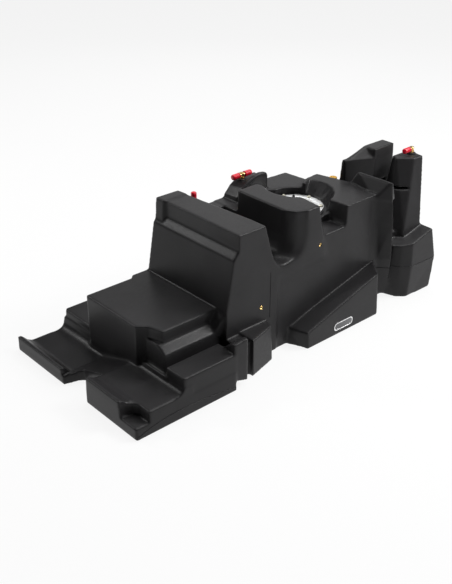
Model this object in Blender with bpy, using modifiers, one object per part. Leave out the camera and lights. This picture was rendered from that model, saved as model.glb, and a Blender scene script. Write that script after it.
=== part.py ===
"""Long range replacement fuel tank of a pickup: one hollow rotomoulded shell with its fittings."""
import math

import bmesh
import bpy
from mathutils import Matrix, Vector

MM = 0.001
MIDDLE = (655.0, 303.1)
WALL = 6.0
GAP = 0.3
UP = (0, 0, 1)
AWAY = (0, 1, 0)

# Sender opening in the top well, and what hangs in it (offsets from its middle).
SENDER = (841.0, 254.0)
WELL_FLOOR = 350.0
WELL_RADIUS = 104.0
SENDER_HOLE = 63.0
RING_RADIUS = 91.0
STUD_CIRCLE = 82.0
STUD_COUNT = 6
STUD_LEAN = math.radians(12.0)
STUD_RADIUS = 3.0
SEAL_THICK = 2.5
FLANGE_THICK = 4.0
RING_THICK = 3.0
SEAL_Z = WELL_FLOOR + GAP
FLANGE_Z = SEAL_Z + SEAL_THICK + GAP
RING_Z = FLANGE_Z + FLANGE_THICK + GAP
HEAD_Z = RING_Z + RING_THICK + GAP
PICKUP = (-18.0, 10.0)
RETURN = (16.0, 24.0)
PLUG = (22.0, -18.0)
LEVEL = (-20.0, -24.0)
PICKUP_TUBE = 5.0
RETURN_TUBE = 4.0
ARM_LENGTH = 172.0
ARM_PIVOT_Z = 150.0
ARM_DROOP = math.radians(38.0)
FLOAT_RADIUS = 18.0
FLOAT_WIDTH = 50.0

# Breathers: (foot on the skin), then the directions of the barbs.
VENTS = (
    ("front", (570.0, 434.0, 368.0), (UP,)),
    ("mid", (764.0, 425.0, 418.0), ((-1, 0, 0), (1, 0, 0))),
    ("rear", (1286.0, 152.0, 455.0), ((-1, 0, 0),)),
)
STEM_RADIUS = 8.0
VALVE_DEPTH = 38.0
BARB_HEIGHT = 15.5
BARB_RADIUS = 7.0
BARB_START = 9.0
BARB_END = 38.0
CAP_RADIUS = 9.4
CAP_START = 11.0
CAP_END = 41.0

SPIGOT = (1068.0, 300.0, 356.0)
SPIGOT_RADIUS = 9.0
FILLER = (985.0, 452.0, 296.0)
FILLER_RADIUS = 26.0
DRAIN = (720.0, 452.0, 40.0)
DRAIN_RADIUS = 10.0
SIDE_Y = 84.0
INSERTS = (("front", (531.0, 81.0, 174.0)), ("rear", (779.0, SIDE_Y, 301.0)))
INSERT_RADIUS = 6.0
LABEL = (834.0, 15.0, 29.0)
LABEL_SIZE = (86.0, 27.0)


def tray_floor(floor, rise=37):
    """Cross section of the front tray with the fillet that climbs to the base."""
    top = floor + rise
    return [(0, 0), (200, 0), (200, top), (169, top), (164, floor + rise * 0.46),
            (152, floor + rise * 0.14), (134, floor), (0, floor)]


TOWER_RING = [(385, 0), (600, 0), (600, 436), (442, 436), (442, 387), (421, 362), (393, 205)]
TOWER_END_RING = [(385, 0), (600, 0), (600, 439), (434, 439), (429, 372), (421, 362), (393, 205)]

# Hollow bodies of the moulding: name, axis across which the rings lie, (station, ring) pairs.
BLOCKS = (
    ("tray", "Y", ((0, tray_floor(71, 20)), (230, tray_floor(71, 20)), (366, tray_floor(25)),
                   (609, tray_floor(18)))),
    ("far_base", "Z", ((0, [(170, 280), (620, 280), (620, 596), (606, 610), (180, 611), (170, 602)]),
                       (81, [(173, 280), (616, 280), (616, 593), (602, 607), (182, 609), (173, 600)]))),
    ("sill", "Z", ((0, [(3, -4), (359, -4), (359, 60), (3, 60)]),
                   (60, [(3, -0.5), (359, -0.5), (359, 60), (3, 60)]))),
    ("near_base", "Z", ((0, [(165, 70), (420, 70), (420, 330), (165, 330)]),
                        (91, [(165, 70), (420, 70), (420, 330), (165, 330)]))),
    ("ledge", "Z", ((0, [(169.5, 0.8), (361, 0.8), (361, 82), (169.5, 82)]),
                    (120, [(169.5, 0.8), (361, 0.8), (361, 82), (169.5, 82)]))),
    ("front_tab", "X", ((355, [(1.6, 28), (60, 28), (60, 114), (16, 150), (1.6, 150)]),
                        (407, [(1.6, 12), (60, 12), (60, 119), (16, 155), (1.6, 155)]))),
    ("tab_web", "Z", ((0, [(390, 34), (450, 34), (450, 120), (390, 120)]),
                      (118, [(390, 34), (450, 34), (450, 120), (390, 120)]))),
    ("rear_tab", "Z", ((0, [(441, 17), (550, 46), (566, 90), (566, 130), (441, 130)]),
                       (124, [(442, 18), (542, 45), (558, 90), (558, 130), (442, 130)]))),
    ("step", "Z", ((0, [(155, 443), (155, 198), (182, 174), (195, 124), (440, 124), (440, 457),
                        (335, 457), (323, 443)]),
                   (205, [(155, 443), (155, 198), (182, 174), (195, 124), (440, 124), (440, 457),
                          (335, 457), (323, 443)]))),
    ("step_side", "X", ((177, [(95, 0), (220, 0), (220, 168), (124, 168), (95, 146)]),
                        (430, [(95, 0), (220, 0), (220, 168), (124, 168), (95, 146)]))),
    ("tower", "Y", ((81, TOWER_RING), (407, TOWER_RING), (413, TOWER_END_RING), (453, TOWER_END_RING))),
    ("main", "Y", ((SIDE_Y, [(560, 0), (1052, 0), (1042, 350), (560, 350)]),
                   (452, [(560, 0), (1052, 0), (1042, 350), (560, 350)]))),
    ("peninsula", "Z", ((250, [(600, 81), (806, 81), (812, 140), (812, 200), (780, 337), (600, 337)]),
                        (434, [(600, 81), (768, 81), (776, 140), (776, 200), (750, 337), (600, 337)]))),
    ("saddle", "Z", ((250, [(600, 310), (842, 310), (842, 452), (600, 452)]),
                     (364, [(600, 310), (842, 310), (842, 452), (600, 452)]))),
    ("fin", "Y", ((382, [(700, 300), (842, 300), (842, 428), (834, 438), (812, 441), (786, 437),
                         (758, 425), (733, 409), (708, 380)]),
                  (450, [(700, 300), (842, 300), (842, 420), (834, 428), (812, 431), (786, 427),
                         (758, 417), (733, 402), (708, 376)]))),
    ("hexagon", "Z", ((260, [(823, 375), (933, 309), (996, 356), (988, 447), (897, 452), (830, 452)]),
                      (380, [(823, 375), (933, 309), (996, 356), (988, 447), (897, 452), (830, 452)]))),
    ("shoulder", "Z", ((280, [(860, 84), (1046, 84), (1064, 219), (1036, 340), (955, 333), (860, 250)]),
                       (396, [(860, 84), (1031, 84), (1053, 219), (1027, 339), (955, 331), (860, 250)]))),
    ("shield", "Y", ((15, [(672, 0), (1004, 0), (990, 154), (670, 57)]),
                     (100, [(634, 0), (1060, 0), (1055, 160), (648, 57)]))),
    ("flare", "Z", ((0, [(1020, 108), (1126, 106), (1140, 90), (1150, 160), (1020, 160)]),
                    (163, [(1020, 84), (1056, 80), (1090, 42), (1120, 160), (1020, 160)]),
                    (300, [(1020, 84), (1038, 80), (1067, 30), (1100, 160), (1020, 160)]),
                    (396, [(1020, 84), (1031, 80), (1061, 38), (1078, 160), (1020, 160)]))),
    ("rear_base", "Z", ((0, [(1030, 100), (1292, 100), (1292, 300), (1280, 312), (1030, 312)]),
                        (230, [(1030, 90), (1280, 90), (1280, 296), (1268, 308), (1030, 308)]))),
    ("breather_seat", "Z", ((200, [(1020, 200), (1130, 200), (1130, 325), (1020, 325)]),
                            (356, [(1020, 205), (1105, 205), (1105, 322), (1020, 322)]))),
    ("lobe", "Z", ((0, [(1130, 107), (1131, 88), (1143, 50), (1170, 27), (1290, 23), (1290, 150),
                        (1130, 150)]),
                   (120, [(1112, 84), (1113, 70), (1132, 36), (1166, 15), (1293, 14), (1293, 150),
                          (1112, 150)]),
                   (199, [(1110, 84), (1112, 60), (1128, 34, 3), (1162, 15, 7), (1263, 15, 34),
                          (1268, 150, 34), (1110, 150)]))),
    ("far_tower", "Z", ((180, [(1080, 250), (1165, 209), (1275, 209), (1277, 300), (1080, 300)]),
                        (452, [(1073, 259), (1168, 209), (1269, 211), (1270, 270), (1073, 272)]))),
    ("near_tower", "Z", ((150, [(1168, 62), (1262, 60), (1280, 190), (1150, 195), (1130, 110)]),
                         (235, [(1172, 66), (1258, 64), (1286, 188), (1175, 193), (1148, 118)]),
                         (455, [(1259, 116), (1300, 112), (1310, 180), (1226, 182), (1214, 158)]))),
)

# Solid lips and ribs: too thin for the moulding to stay hollow.
RIBS = (
    ("near_lip", "Y", ((74, [(0.5, 38), (48, 38), (46, 72), (31, 74), (22, 79), (13, 85), (0.5, 85)]),
                       (234, [(0.5, 38), (48, 38), (46, 72), (31, 74), (22, 79), (13, 85), (0.5, 85)]))),
    ("far_lip", "Y", ((361, [(0.5, 9), (46, 9), (46, 20), (31, 28), (19, 41), (12, 48), (0.5, 48)]),
                      (608, [(0.5, 9), (46, 9), (46, 20), (31, 28), (19, 41), (12, 48), (0.5, 48)]))),
    ("brace", "X", ((362, [(95, 130), (140, 130), (140, 160), (118, 160), (95, 150)]),
                    (394, [(88, 130), (140, 130), (140, 204), (128, 204), (88, 196)]))),
    ("ridge", "Z", ((380, [(1024, 84), (1058, 40), (1080, 44), (1078, 190), (1056, 222), (1050, 219)]),
                    (440, [(1058, 48), (1059, 44), (1065, 45), (1060, 181), (1054, 183), (1051, 181)]))),
    ("far_peak", "Z", ((450, [(1090, 252), (1168, 210), (1269, 211), (1270, 268), (1090, 269)]),
                       (480, [(1168, 252), (1169, 211), (1267, 213), (1268, 264), (1176, 264)]))),
)

# Hollows cut from the outside: the wall follows each of them inside the tank.
CUTS = (
    ("ground", "Z", ((-90, [(-90, -90), (1390, -90), (1390, 700), (-90, 700)]),
                     (0, [(-90, -90), (1390, -90), (1390, 700), (-90, 700)]))),
    ("lip_notch", "Z", ((-21, [(-21, 235), (57, 239), (59, 327), (45, 337), (15, 345), (-21, 351)]),
                        (121, [(-21, 231), (59, 235), (61, 337), (46, 349), (16, 361), (-21, 367)]))),
    ("corner_pocket", "Z", ((37, [(-20, -20), (48, -20), (48, 50), (40, 62), (20, 71), (-20, 71)]),
                            (120, [(-20, -20), (48, -20), (48, 50), (40, 62), (20, 73), (-20, 73)]))),
    ("side_notch", "Y", ((-20, [(795, 322), (892, 322), (905, 332), (906, 460), (769, 460)]),
                         (150, [(802, 330), (885, 330), (893, 345), (894, 460), (790, 460)]))),
    ("notch_throat", "Z", ((351.5, [(797, 140), (893, 140), (893, 196), (797, 196)]),
                           (460, [(788, 140), (894, 140), (894, 196), (788, 196)]))),
    ("saddle_far", "Y", ((396, [(551, 368), (598, 368), (606, 362), (668, 362), (668, 500), (541, 500)]),
                         (480, [(551, 368), (598, 368), (606, 362), (668, 362), (668, 500), (541, 500)]))),
    ("tower_taper", "Z", ((373, [(566, 85), (600, 85), (600, 470), (538, 470)]),
                          (445, [(547, 85), (600, 85), (600, 470), (519, 470)]))),
    ("fin_shelf", "Z", ((418, [(688, 402), (880, 402), (880, 480), (688, 480)]),
                        (520, [(688, 402), (880, 402), (880, 480), (688, 480)]))),
    ("tower_gap", "Y", ((182, [(1180, 300), (1300, 300), (1330, 320), (1330, 520), (1150, 520)]),
                        (209, [(1160, 300), (1300, 300), (1330, 320), (1330, 520), (1150, 520)]))),
    ("tower_groove", "Z", ((358, [(1180, 60), (1221, 60), (1230, 220), (1180, 220)]),
                           (366, [(1180, 60), (1221, 60), (1230, 220), (1180, 220)]))),
)


def saddle_ring(right):
    """Outline of the rounded saddle that crosses the tank behind the front tower."""
    return [(540, 500), (546, 431), (570, 348), (580, 318), (596, 297), (618, 287), (right - 40, 289),
            (right - 18, 302), (right - 6, 324), (right, 350), (right, 500)]


def well_side(bulge):
    """Fan from the middle of the well to its wall, which leans out towards the shoulder."""
    fan = [SENDER]
    for step in range(8):
        angle = math.radians(-72 + 14 * step)
        lean = math.cos(0.9 * (angle - math.radians(15))) ** 2
        reach = WELL_RADIUS + 2 + bulge * lean
        fan.append((SENDER[0] + reach * math.cos(angle), SENDER[1] + reach * math.sin(angle)))
    return fan


CUTS += (("well_lean", "Z", ((358, well_side(0)), (398, well_side(44)))),
         ("saddle_cut", "Y", ((-20, saddle_ring(716)), (84, saddle_ring(716)), (98, saddle_ring(684)),
                              (131, saddle_ring(665)), (398, saddle_ring(665)))))


def clear_objects():
    for obj in list(bpy.data.objects):
        bpy.data.objects.remove(obj, do_unlink=True)


def new_collection(name):
    collection = bpy.data.collections.new(name)
    bpy.context.scene.collection.children.link(collection)
    return collection


def material(name, color, metallic, roughness):
    mat = bpy.data.materials.new(name)
    mat.use_nodes = True
    shader = mat.node_tree.nodes["Principled BSDF"]
    shader.inputs["Base Color"].default_value = (*color, 1.0)
    shader.inputs["Metallic"].default_value = metallic
    shader.inputs["Roughness"].default_value = roughness
    return mat


def world(x, y, z):
    """Tank millimetres to metres about the middle of the footprint."""
    return Vector(((x - MIDDLE[0]) * MM, (y - MIDDLE[1]) * MM, z * MM))


def offset(ring, depth):
    """The ring moved inwards by depth with mitred corners."""
    count = len(ring)
    area = sum(ring[i - 1][0] * ring[i][1] - ring[i][0] * ring[i - 1][1] for i in range(count))
    turn = 1.0 if area > 0 else -1.0
    moved = []
    for i in range(count):
        before = Vector(ring[i - 1][:2])
        here = Vector(ring[i][:2])
        after = Vector(ring[(i + 1) % count][:2])
        one = (here - before).normalized()
        two = (after - here).normalized()
        n_one = Vector((-one.y, one.x)) * turn
        n_two = Vector((-two.y, two.x)) * turn
        reach = depth / max(0.35, 1.0 + n_one.dot(n_two))
        point = here + (n_one + n_two) * reach
        moved.append((point.x, point.y, ring[i][2] if len(ring[i]) > 2 else 0.0))
    return moved


def ring_point(axis, station, point):
    """A ring point may carry a third value that lifts it off its station."""
    if axis == "X":
        return world(station + point[2], point[0], point[1])
    if axis == "Y":
        return world(point[0], station + point[2], point[1])
    return world(point[0], point[1], station + point[2])


def mesh_object(name, bm, collection, mat=None):
    bmesh.ops.recalc_face_normals(bm, faces=bm.faces)
    mesh = bpy.data.meshes.new(name)
    bm.to_mesh(mesh)
    bm.free()
    obj = bpy.data.objects.new(name, mesh)
    collection.objects.link(obj)
    if mat:
        mesh.materials.append(mat)
    return obj


def skin(name, axis, sections, collection, depth=0.0):
    """Closed body through rings; depth moves every wall inwards."""
    bm = bmesh.new()
    loops = []
    last = len(sections) - 1
    for i, (station, ring) in enumerate(sections):
        shift = depth if i == 0 else -depth if i == last else 0.0
        points = offset(ring, depth)
        loops.append([bm.verts.new(ring_point(axis, station + shift, p)) for p in points])
    for low, high in zip(loops, loops[1:]):
        for i in range(len(low)):
            j = (i + 1) % len(low)
            bm.faces.new((low[i], low[j], high[j], high[i]))
    bm.faces.new(loops[0])
    bm.faces.new(loops[-1])
    bm.normal_update()
    bmesh.ops.triangulate(bm, faces=bm.faces)
    return mesh_object(name, bm, collection)


def apply_modifiers(obj):
    depsgraph = bpy.context.evaluated_depsgraph_get()
    mesh = bpy.data.meshes.new_from_object(obj.evaluated_get(depsgraph))
    obj.modifiers.clear()
    old = obj.data
    obj.data = mesh
    bpy.data.meshes.remove(old)


def boolean(target, tool, operation):
    mod = target.modifiers.new(operation, "BOOLEAN")
    mod.operation = operation
    mod.solver = "EXACT"
    mod.object = tool
    apply_modifiers(target)


def merge(name, parts):
    base = parts[0]
    for part in parts[1:]:
        boolean(base, part, "UNION")
        bpy.data.objects.remove(part, do_unlink=True)
    base.name = name
    return base


def hide(obj, cutters):
    obj.hide_render = True
    obj.display_type = "WIRE"
    for collection in list(obj.users_collection):
        collection.objects.unlink(obj)
    cutters.objects.link(obj)


def carve(target, tools, cutters):
    for tool in tools:
        boolean(target, tool, "DIFFERENCE")
        hide(tool, cutters)


def round_bar(name, radius, length, place, direction, collection, mat=None, sides=20):
    """Cylinder that starts at place and runs along direction."""
    bm = bmesh.new()
    bmesh.ops.create_cone(bm, cap_ends=True, segments=sides, radius1=radius * MM, radius2=radius * MM,
                          depth=length * MM)
    bmesh.ops.translate(bm, vec=(0, 0, length * MM / 2), verts=bm.verts)
    turn = Vector((0, 0, 1)).rotation_difference(Vector(direction)).to_matrix().to_4x4()
    bmesh.ops.transform(bm, matrix=Matrix.Translation(place) @ turn, verts=bm.verts)
    return mesh_object(name, bm, collection, mat)


def box(name, low, high, collection, mat=None):
    """Block between two corners given in tank millimetres."""
    bm = bmesh.new()
    bmesh.ops.create_cube(bm, size=1.0)
    first = world(*low)
    second = world(*high)
    bmesh.ops.scale(bm, vec=second - first, verts=bm.verts)
    bmesh.ops.translate(bm, vec=(first + second) / 2, verts=bm.verts)
    return mesh_object(name, bm, collection, mat)


def turned(name, profile, collection, mat=None, steps=20):
    """Closed outline (radius, height) swept about the local z axis."""
    mesh = bpy.data.meshes.new(name)
    points = [(r * MM, 0.0, z * MM) for r, z in profile]
    pairs = [(i, (i + 1) % len(points)) for i in range(len(points))]
    edges = [(i, j) for i, j in pairs if profile[i][0] > 0 or profile[j][0] > 0]
    mesh.from_pydata(points, edges, [])
    obj = bpy.data.objects.new(name, mesh)
    collection.objects.link(obj)
    screw = obj.modifiers.new("turn", "SCREW")
    screw.steps = steps
    screw.render_steps = steps
    screw.use_merge_vertices = True
    screw.merge_threshold = 0.00005
    apply_modifiers(obj)
    bm = bmesh.new()
    bm.from_mesh(obj.data)
    bmesh.ops.remove_doubles(bm, verts=bm.verts, dist=0.00001)
    bmesh.ops.recalc_face_normals(bm, faces=bm.faces)
    bm.to_mesh(obj.data)
    bm.free()
    if mat:
        obj.data.materials.append(mat)
    return obj


def stand(obj, spot, direction=UP):
    """Bake local z along direction, then set the local origin on the spot."""
    turn = Vector(UP).rotation_difference(Vector(direction)).to_matrix().to_4x4()
    obj.data.transform(turn)
    obj.location = spot
    return obj


def set_origin(obj, spot):
    """Move the origin without moving the mesh."""
    obj.data.transform(Matrix.Translation(obj.location - spot))
    obj.location = spot
    return obj


def adopt(child, parent):
    bpy.context.view_layer.update()
    child.parent = parent
    child.matrix_parent_inverse = parent.matrix_world.inverted()


def sink(obj, level, drop):
    """Feet of a block go below the ground plane, each by its own amount, and are trimmed later."""
    for vertex in obj.data.vertices:
        if vertex.co.z < (level + 0.5) * MM:
            vertex.co.z -= drop * MM


def body_of(depth, suffix, collection):
    parts = [skin(name + suffix, axis, rings, collection, depth) for name, axis, rings in BLOCKS]
    for index, part in enumerate(parts):
        sink(part, depth, 8.0 + 0.7 * index)
    if depth == 0.0:
        parts += [skin(name, axis, rings, collection) for name, axis, rings in RIBS]
    whole = merge("body" + suffix, parts)
    return whole


def outside_cuts(depth, suffix, collection):
    """Everything scooped from the outside, grown by depth for the cavity."""
    tools = [skin(name + suffix, axis, rings, collection, -depth) for name, axis, rings in CUTS]
    low = world(SENDER[0], SENDER[1], WELL_FLOOR - depth)
    tools.append(round_bar("sender_well", WELL_RADIUS + depth, 200.0, low, UP, collection, sides=36))
    return tools


def stud_spot(index, z):
    angle = math.tau * index / STUD_COUNT + STUD_LEAN
    return world(SENDER[0] + STUD_CIRCLE * math.cos(angle), SENDER[1] + STUD_CIRCLE * math.sin(angle), z)


def port_holes(collection):
    """Every opening through the wall of the moulding."""
    ports = [("sender_hole", SENDER_HOLE, (*SENDER, WELL_FLOOR), UP, 32)]
    ports += [(f"{name}_vent_hole", STEM_RADIUS + GAP, foot, UP, 20) for name, foot, _ in VENTS]
    ports.append(("spigot_hole", SPIGOT_RADIUS + GAP, SPIGOT, UP, 20))
    ports.append(("filler_hole", FILLER_RADIUS + GAP, FILLER, AWAY, 28))
    ports.append(("drain_hole", DRAIN_RADIUS + GAP, DRAIN, AWAY, 20))
    ports += [(f"{name}_insert_hole", INSERT_RADIUS + GAP, spot, AWAY, 16) for name, spot in INSERTS]
    holes = []
    for name, radius, spot, direction, sides in ports:
        start = world(*spot) - Vector(direction) * 12 * MM
        holes.append(round_bar(name, radius, 24.0, start, direction, collection, sides=sides))
    for index in range(STUD_COUNT):
        holes.append(round_bar(f"stud_hole_{index}", STUD_RADIUS + GAP, 24.0,
                               stud_spot(index, WELL_FLOOR - 12), UP, collection, sides=10))
    return holes


def tank_shell(collection, cutters, mat):
    shell = body_of(0.0, "", collection)
    carve(shell, outside_cuts(0.0, "_outer", collection), cutters)
    cavity = body_of(WALL, "_inner", collection)
    carve(cavity, outside_cuts(WALL, "_grown", collection), cutters)
    boolean(shell, cavity, "DIFFERENCE")
    hide(cavity, cutters)
    carve(shell, port_holes(collection), cutters)
    shell.name = "tank_shell"
    shell.data.materials.clear()
    shell.data.materials.append(mat)
    bm = bmesh.new()
    bm.from_mesh(shell.data)
    bmesh.ops.remove_doubles(bm, verts=bm.verts, dist=0.00001)
    bmesh.ops.dissolve_degenerate(bm, dist=0.00001, edges=bm.edges)
    bm.to_mesh(shell.data)
    bm.free()
    return shell


def tube(name, radius, bore, low, high, collection, mat, steps=16):
    profile = [(bore, high), (radius, high), (radius, low), (bore, low)]
    return turned(name, profile, collection, mat, steps)


def sender_spot(pair, z):
    return world(SENDER[0] + pair[0], SENDER[1] + pair[1], z)


def drill(target, spots, radius, direction, length, cutters, sides=16):
    for index, spot in enumerate(spots):
        start = spot - Vector(direction) * length * MM / 2
        tool = round_bar(f"{target.name}_drill_{index}", radius, length, start, direction, cutters,
                         sides=sides)
        boolean(target, tool, "DIFFERENCE")
        hide(tool, cutters)


def sender_stack(parts, cutters, mats):
    """Seal, flange and bright clamp ring, bolted down over the opening in the well."""
    seal = tube("sender_seal", 73.0, 65.0, 0.0, SEAL_THICK, parts, mats["rubber"], 36)
    stand(seal, world(*SENDER, SEAL_Z))
    flange = turned("sender_flange", [(0, FLANGE_THICK), (74, FLANGE_THICK), (74, 0), (0, 0)], parts,
                    mats["nylon"], 36)
    stand(flange, world(*SENDER, FLANGE_Z))
    set_origin(flange, Vector((0, 0, 0)))
    drill(flange, [sender_spot(PICKUP, FLANGE_Z)], PICKUP_TUBE + GAP, UP, 30.0, cutters)
    drill(flange, [sender_spot(RETURN, FLANGE_Z)], RETURN_TUBE + GAP, UP, 30.0, cutters)
    set_origin(flange, world(*SENDER, FLANGE_Z))
    drop = SEAL_Z - RING_Z
    profile = [(60, RING_THICK), (RING_RADIUS, RING_THICK), (RING_RADIUS, drop), (74.6, drop), (74.6, 0),
               (60, 0)]
    ring = turned("sender_lock_ring", profile, parts, mats["zinc"], 36)
    stand(ring, world(*SENDER, RING_Z))
    set_origin(ring, Vector((0, 0, 0)))
    studs = [stud_spot(index, RING_Z) for index in range(STUD_COUNT)]
    drill(ring, studs, STUD_RADIUS + GAP, UP, 40.0, cutters, 10)
    set_origin(ring, world(*SENDER, RING_Z))
    for index in range(STUD_COUNT):
        head = round_bar(f"ring_bolt_{index + 1}", 5.8, 5.0, stud_spot(index, HEAD_Z), UP, parts,
                         mats["zinc"], 6)
        shank = round_bar("shank", STUD_RADIUS, HEAD_Z - 336, stud_spot(index, 338), UP, parts, None, 10)
        boolean(head, shank, "UNION")
        bpy.data.objects.remove(shank, do_unlink=True)
        set_origin(head, stud_spot(index, HEAD_Z))


def fuel_tubes(parts, mats):
    """Pickup with its strainer, and the shorter return."""
    top = FLANGE_Z + 30
    bead = top - 6
    for name, spot, radius, bore, foot in (("pickup_tube", PICKUP, PICKUP_TUBE, 3.4, 23.0),
                                           ("return_tube", RETURN, RETURN_TUBE, 2.4, 250.0)):
        profile = [(bore, top), (radius - 0.6, top), (radius + 1, bead), (radius, bead - 0.5),
                   (radius, foot), (bore, foot)]
        stand(turned(name, profile, parts, mats["nylon"], 16), sender_spot(spot, 0))
    profile = [(0, 22), (PICKUP_TUBE + GAP, 22), (PICKUP_TUBE + GAP, 28), (20, 28), (22, 26), (22, 14),
               (20, 12), (0, 12)]
    stand(turned("pickup_strainer", profile, parts, mats["mesh"], 20), sender_spot(PICKUP, 0))


def level_gauge(parts, cutters, mats):
    """Hanging bracket with the pivot pin, the swinging wire arm and its float."""
    x = SENDER[0] + LEVEL[0]
    y = SENDER[1] + LEVEL[1]
    low = ARM_PIVOT_Z - 18
    high = ARM_PIVOT_Z + 20
    bracket = box("level_bracket", (x - 8, y - 10, low), (x + 8, y + 8, high), parts, mats["nylon"])
    strip = box("strip", (x - 7, y + 3, high - 6), (x + 7, y + 7, FLANGE_Z - GAP), parts)
    pin = round_bar("pin", 2.0, 16.0, world(x, y - 18, ARM_PIVOT_Z), AWAY, parts, None, 12)
    for extra in (strip, pin):
        boolean(bracket, extra, "UNION")
        bpy.data.objects.remove(extra, do_unlink=True)
    pivot = world(x, y - 14, ARM_PIVOT_Z)
    set_origin(bracket, pivot)
    reach = Vector((-math.cos(ARM_DROOP), 0, -math.sin(ARM_DROOP)))
    arm = round_bar("float_arm", 6.0, 5.0, world(x, y - 16.5, ARM_PIVOT_Z), AWAY, parts, mats["wire"], 16)
    wire = round_bar("wire", 1.8, ARM_LENGTH - 5, pivot + reach * 4 * MM, reach, parts, None, 10)
    boolean(arm, wire, "UNION")
    bpy.data.objects.remove(wire, do_unlink=True)
    drill(arm, [pivot], 2.0 + GAP, AWAY, 20.0, cutters, 12)
    set_origin(arm, pivot)
    end = pivot + reach * ARM_LENGTH * MM
    start = end - Vector(AWAY) * FLOAT_WIDTH * MM / 2
    ball = round_bar("level_float", FLOAT_RADIUS, FLOAT_WIDTH, start, AWAY, parts, mats["foam"], 20)
    drill(ball, [end - reach * 12 * MM], 1.8 + GAP, reach, 24.0, cutters, 10)
    set_origin(ball, end)
    adopt(ball, arm)


def connector(parts, mats):
    """Electrical plug on the sender flange."""
    x = SENDER[0] + PLUG[0]
    y = SENDER[1] + PLUG[1]
    low = FLANGE_Z + FLANGE_THICK + GAP
    plug = box("sender_connector", (x - 12, y - 8, low), (x + 12, y + 8, low + 14), parts, mats["nylon"])
    bore = box("connector_mouth", (x - 9, y - 5, low + 5), (x + 9, y + 5, low + 20), parts)
    boolean(plug, bore, "DIFFERENCE")
    bpy.data.objects.remove(bore, do_unlink=True)
    set_origin(plug, world(x, y, low))


def hose_barb(name, start, direction, collection):
    """Ridged barb along direction, measured from the axis of its stem."""
    profile = [(0, BARB_END), (BARB_RADIUS - 1.4, BARB_END), (BARB_RADIUS, BARB_END - 5),
               (BARB_RADIUS - 1.2, BARB_END - 5), (BARB_RADIUS - 1.2, BARB_END - 9),
               (BARB_RADIUS, BARB_END - 14), (BARB_RADIUS - 1.2, BARB_END - 14),
               (BARB_RADIUS - 1.2, BARB_START), (BARB_RADIUS, BARB_START), (BARB_RADIUS, 0), (0, 0)]
    barb = turned(name, profile, collection, None, 16)
    stand(barb, start, direction)
    return set_origin(barb, Vector((0, 0, 0)))


def vent_valve(name, foot, parts, mats):
    """Roll-over valve: a flanged cage through the skin with a ball that lifts to shut it."""
    low = -VALVE_DEPTH
    profile = [(3, 3.3), (15, 3.3), (15, GAP), (STEM_RADIUS, GAP), (STEM_RADIUS, low), (3, low),
               (3, low + 4), (5.6, low + 4), (5.6, -11), (3, -8)]
    stand(turned(f"{name}_vent_valve", profile, parts, mats["nylon"], 20), world(*foot))
    ball = [(0, 5), (3.4, 5), (5.0, 3.4), (5.0, -3.4), (3.4, -5), (0, -5)]
    spot = world(foot[0], foot[1], foot[2] + low + 4 + GAP + 5)
    stand(turned(f"{name}_vent_ball", ball, parts, mats["foam"], 14), spot)


def fitting_kind(ways):
    if UP in ways:
        return "stem"
    return "tee" if len(ways) > 1 else "elbow"


def vent_fitting(name, foot, ways, parts, cutters, mats):
    """Brass stem with a barb on top, one to the side or two, each under a red push-on cap."""
    x, y, z = foot
    axis_z = z + BARB_HEIGHT
    fitting = round_bar(f"{name}_vent_{fitting_kind(ways)}", 10.4, 6.0, world(x, y, z + 3.6), UP, parts,
                        mats["brass"], 6)
    stem = round_bar("stem", STEM_RADIUS, BARB_HEIGHT + 4.3, world(x, y, z + 4.6), UP, parts, None, 16)
    centre = world(x, y, axis_z)
    barbs = [hose_barb("barb", centre, way, parts) for way in ways]
    for extra in [stem] + barbs:
        boolean(fitting, extra, "UNION")
        bpy.data.objects.remove(extra, do_unlink=True)
    tools = [round_bar(f"{name}_stem_bore", 3.2, BARB_HEIGHT + 1.1, world(x, y, z), UP, cutters, sides=12)]
    for way in ways:
        tools.append(round_bar(f"{name}_barb_bore", 2.9, 60.0, centre - Vector(way) * 2 * MM, way,
                               cutters, sides=12))
    carve(fitting, tools, cutters)
    set_origin(fitting, centre)
    for index, way in enumerate(ways):
        profile = [(0, CAP_END), (CAP_RADIUS - 1.5, CAP_END), (CAP_RADIUS - 0.2, CAP_END - 1.5),
                   (CAP_RADIUS - 0.2, CAP_START + 3), (CAP_RADIUS + 0.6, CAP_START + 2.5),
                   (CAP_RADIUS + 0.6, CAP_START), (BARB_RADIUS + GAP, CAP_START),
                   (BARB_RADIUS + GAP, BARB_END + GAP), (0, BARB_END + GAP)]
        side = "" if len(ways) == 1 else ("_a", "_b")[index]
        cap = turned(f"{name}_vent_cap{side}", profile, parts, mats["red"], 20)
        stand(cap, centre, way)


def spigot(parts, mats):
    """Plain breather spigot under a flat yellow push-on cap."""
    radius = SPIGOT_RADIUS
    profile = [(6, 24), (radius, 24), (radius, 3.3), (16, 3.3), (16, GAP), (radius, GAP), (radius, -12),
               (6, -12)]
    stand(turned("breather_spigot", profile, parts, mats["nylon"], 20), world(*SPIGOT))
    profile = [(0, 28), (12.4, 28), (13.6, 26.8), (13.6, 6), (radius + GAP, 6), (radius + GAP, 24 + GAP),
               (0, 24 + GAP)]
    stand(turned("breather_yellow_cap", profile, parts, mats["yellow"], 24), world(*SPIGOT))


def filler(parts, mats):
    """Filler neck out of the far wall, closed by a transport cap."""
    radius = FILLER_RADIUS
    profile = [(22, 52), (radius, 52), (radius, 4.3), (36, 4.3), (36, GAP), (radius, GAP), (radius, -12),
               (22, -12)]
    stand(turned("filler_neck", profile, parts, mats["nylon"], 28), world(*FILLER), AWAY)
    profile = [(0, 57), (30, 57), (32, 55), (32, 34), (radius + GAP, 34), (radius + GAP, 52 + GAP),
               (0, 52 + GAP)]
    stand(turned("filler_cap", profile, parts, mats["nylon"], 28), world(*FILLER), AWAY)


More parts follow.
